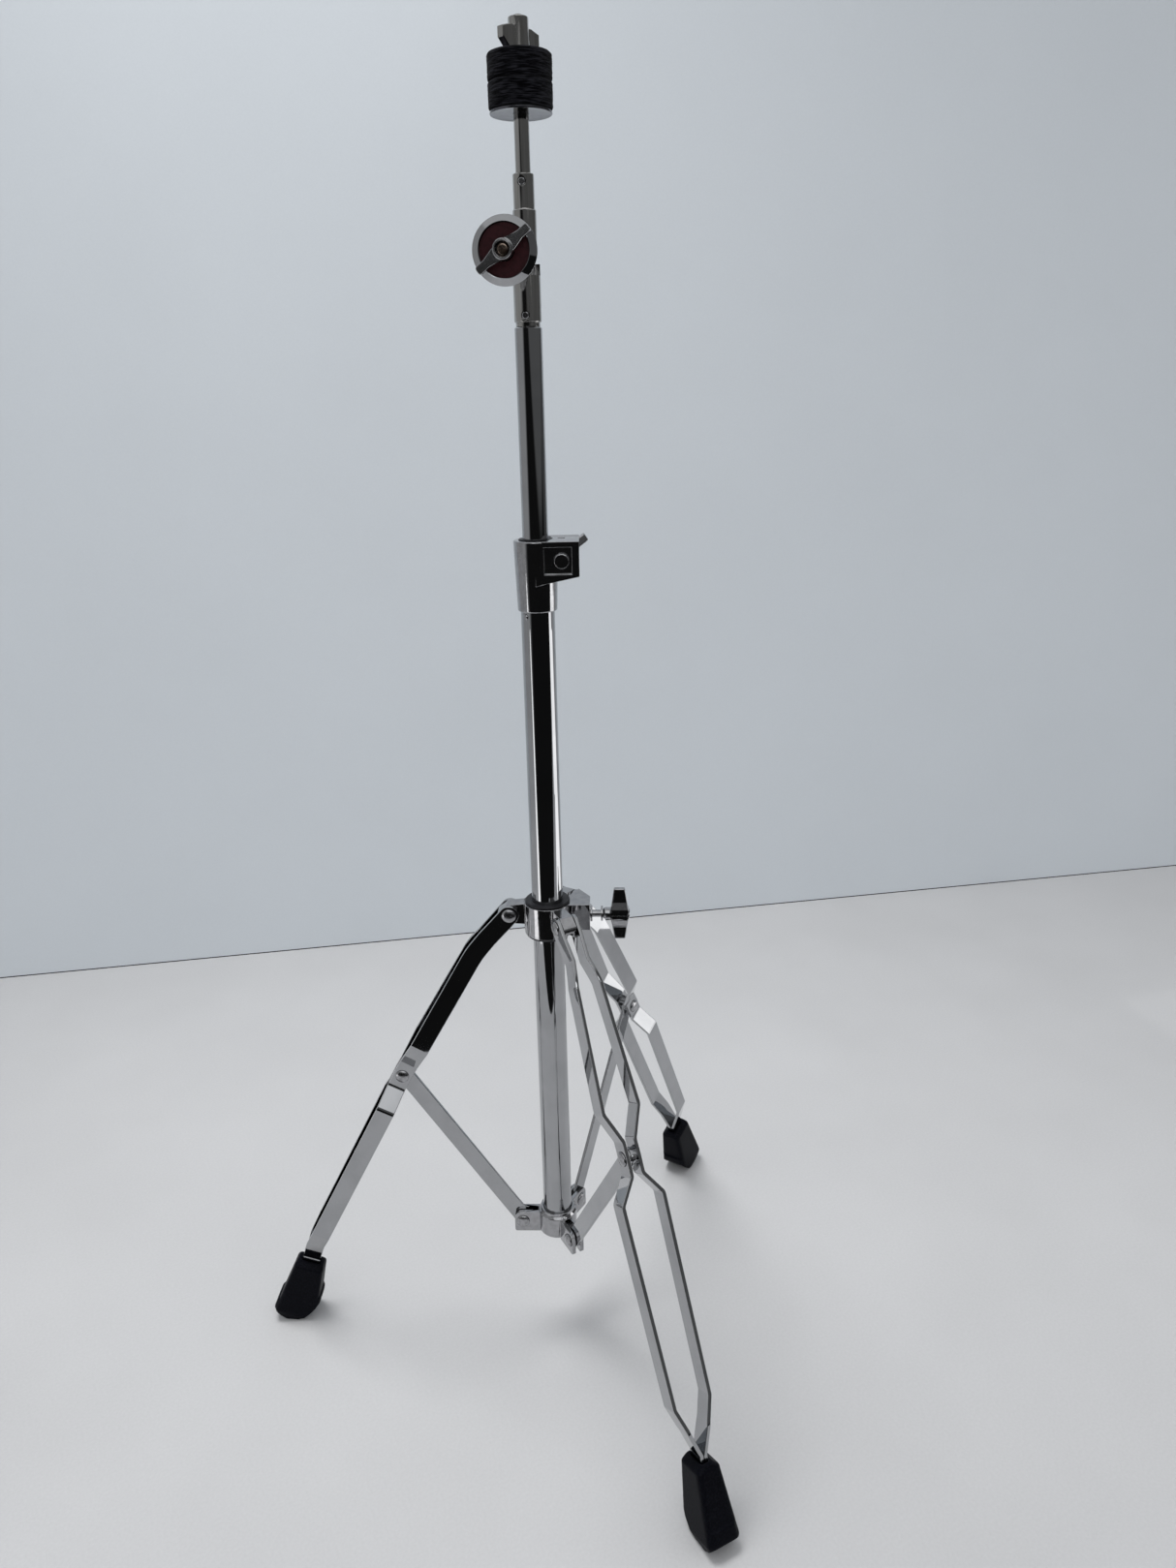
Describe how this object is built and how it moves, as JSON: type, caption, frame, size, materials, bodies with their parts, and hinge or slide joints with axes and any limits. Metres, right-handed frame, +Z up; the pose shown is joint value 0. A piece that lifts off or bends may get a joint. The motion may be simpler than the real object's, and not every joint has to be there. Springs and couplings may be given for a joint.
{
  "type": "cymbal stand",
  "caption": "Straight cymbal stand with a folding tripod of paired flat straps, a telescoping tube in a cast clamp and a tilting rod with two felts.",
  "frame": {"origin": "on the floor, under the middle of the box that holds the whole stand", "axes": "+Z up along the tube; the first leg points along -Y, the other two stand 120 degrees to each side of it"},
  "size_m": [0.4774, 0.4155, 1.048],
  "materials": {
    "chrome": "mirror chrome plating",
    "dark_steel": "plated steel fastener",
    "nylon": "black moulded nylon",
    "rubber": "satin black rubber",
    "felt": "pressed wool felt, near black",
    "burgundy": "dark burgundy disc"
  },
  "bodies": {
    "stand": {"base_tube": "chrome", "tube_end_plug": "nylon", "tube_stop_rivet": "dark_steel", "lower_collar": "chrome", "foot_rivet_1": "dark_steel", "foot_rivet_2": "dark_steel", "foot_rivet_3": "dark_steel", "height_clamp": "chrome", "clamp_bolt": "chrome"},
    "mast_bush": {"clamp_bush": "nylon"},
    "clamp_handle": {"clamp_wing_handle": "chrome"},
    "mast": {"upper_tube": "chrome", "tilter_base": "chrome", "tilter_base_screw": "dark_steel", "tilter_cap": "chrome", "tilter_inlay": "burgundy", "tilter_washer": "dark_steel", "tilter_bolt": "dark_steel"},
    "tilter_wing": {"tilter_wing": "chrome"},
    "head": {"tilter_head": "chrome", "tilter_head_screw": "dark_steel", "cymbal_rod": "chrome", "seat_sleeve": "nylon", "cup_washer": "chrome", "lower_felt": "felt"},
    "top_felt": {"upper_felt": "felt"},
    "nut": {"wing_nut": "chrome"},
    "collar": {"leg_collar": "chrome", "collar_bush_upper": "nylon", "collar_bush_lower": "nylon", "collar_pressure_pad": "nylon", "leg_rivet_1": "dark_steel", "leg_rivet_2": "dark_steel", "leg_rivet_3": "dark_steel"},
    "collar_handle": {"collar_wing_screw": "chrome", "collar_wing_handle": "chrome"},
    "leg_1": {"leg_1_strap_left": "chrome", "leg_1_strap_right": "chrome", "leg_1_boot": "rubber", "leg_1_brace_rivet": "dark_steel", "leg_1_spacer_left": "chrome", "leg_1_spacer_right": "chrome"},
    "brace_1": {"brace_1": "chrome"},
    "leg_2": {"leg_2_strap_left": "chrome", "leg_2_strap_right": "chrome", "leg_2_boot": "rubber", "leg_2_brace_rivet": "dark_steel", "leg_2_spacer_left": "chrome", "leg_2_spacer_right": "chrome"},
    "brace_2": {"brace_2": "chrome"},
    "leg_3": {"leg_3_strap_left": "chrome", "leg_3_strap_right": "chrome", "leg_3_boot": "rubber", "leg_3_brace_rivet": "dark_steel", "leg_3_spacer_left": "chrome", "leg_3_spacer_right": "chrome"},
    "brace_3": {"brace_3": "chrome"}
  },
  "joints": [
    {"name": "leg_fold", "type": "hinge", "parent": "stand", "child": "brace_1", "pos_m": [0, 0.03044, 0.11], "axis": [-1, 0, 0], "range_deg": [-0.8, 24]},
    {"name": "leg_1_fold", "type": "hinge", "parent": "brace_1", "child": "leg_1", "pos_m": [0, -0.06896, 0.2645], "axis": [-1, 0, 0], "range_deg": [-50, 3.6]},
    {"name": "brace_2_fold", "type": "hinge", "parent": "stand", "child": "brace_2", "pos_m": [0.02719, 0.07754, 0.11], "axis": [0.5, -0.866, 0], "range_deg": [-1.8, 25]},
    {"name": "leg_2_fold", "type": "hinge", "parent": "brace_2", "child": "leg_2", "pos_m": [0.11328, 0.12723, 0.2645], "axis": [0.5, -0.866, 0], "range_deg": [-50, 3.6]},
    {"name": "brace_3_fold", "type": "hinge", "parent": "stand", "child": "brace_3", "pos_m": [-0.02719, 0.07754, 0.11], "axis": [0.5, 0.866, 0], "range_deg": [-1.8, 25]},
    {"name": "leg_3_fold", "type": "hinge", "parent": "brace_3", "child": "leg_3", "pos_m": [-0.11328, 0.12723, 0.2645], "axis": [0.5, 0.866, 0], "range_deg": [-50, 3.6]},
    {"name": "collar_follow", "type": "hinge", "parent": "leg_1", "child": "collar", "pos_m": [0, 0.03044, 0.419], "axis": [-1, 0, 0], "range_deg": [-1.8, 25]},
    {"name": "collar_wing_turn", "type": "hinge", "parent": "collar", "child": "collar_handle", "pos_m": [0, 0.06184, 0.4169], "axis": [0.866, -0.5, 0], "continuous": true},
    {"name": "clamp_wing_turn", "type": "hinge", "parent": "stand", "child": "clamp_handle", "pos_m": [0.01678, 0.05291, 0.7057], "axis": [0.4695, 0.8829, 0], "continuous": true},
    {"name": "mast_turn", "type": "hinge", "parent": "stand", "child": "mast_bush", "pos_m": [0, 0.06184, 0.7], "axis": [0, 0, 1], "continuous": true},
    {"name": "mast_slide", "type": "slide", "parent": "mast_bush", "child": "mast", "axis": [0, 0, 1], "range_m": [-0.12, 0.25]},
    {"name": "tilter_tilt", "type": "hinge", "parent": "mast", "child": "head", "pos_m": [-0.0085, 0.06749, 0.9097], "axis": [-0.5534, -0.8329, 0], "range_deg": [-45, 60]},
    {"name": "tilter_wing_turn", "type": "hinge", "parent": "mast", "child": "tilter_wing", "pos_m": [-0.0085, 0.06749, 0.9097], "axis": [-0.5534, -0.8329, 0], "continuous": true},
    {"name": "top_felt_lift", "type": "slide", "parent": "head", "child": "top_felt", "axis": [0, 0, 1], "range_m": [0, 0.05]},
    {"name": "wing_nut_turn", "type": "hinge", "parent": "top_felt", "child": "nut", "pos_m": [0, 0.06184, 1.03], "axis": [0, 0, 1], "continuous": true}
  ],
  "couplings": [
    {"joint": "leg_1_fold", "follows": "leg_fold", "ratio": -2},
    {"joint": "brace_2_fold", "follows": "leg_fold", "ratio": 1},
    {"joint": "leg_2_fold", "follows": "leg_fold", "ratio": -2},
    {"joint": "brace_3_fold", "follows": "leg_fold", "ratio": 1},
    {"joint": "leg_3_fold", "follows": "leg_fold", "ratio": -2},
    {"joint": "collar_follow", "follows": "leg_fold", "ratio": 1}
  ]
}
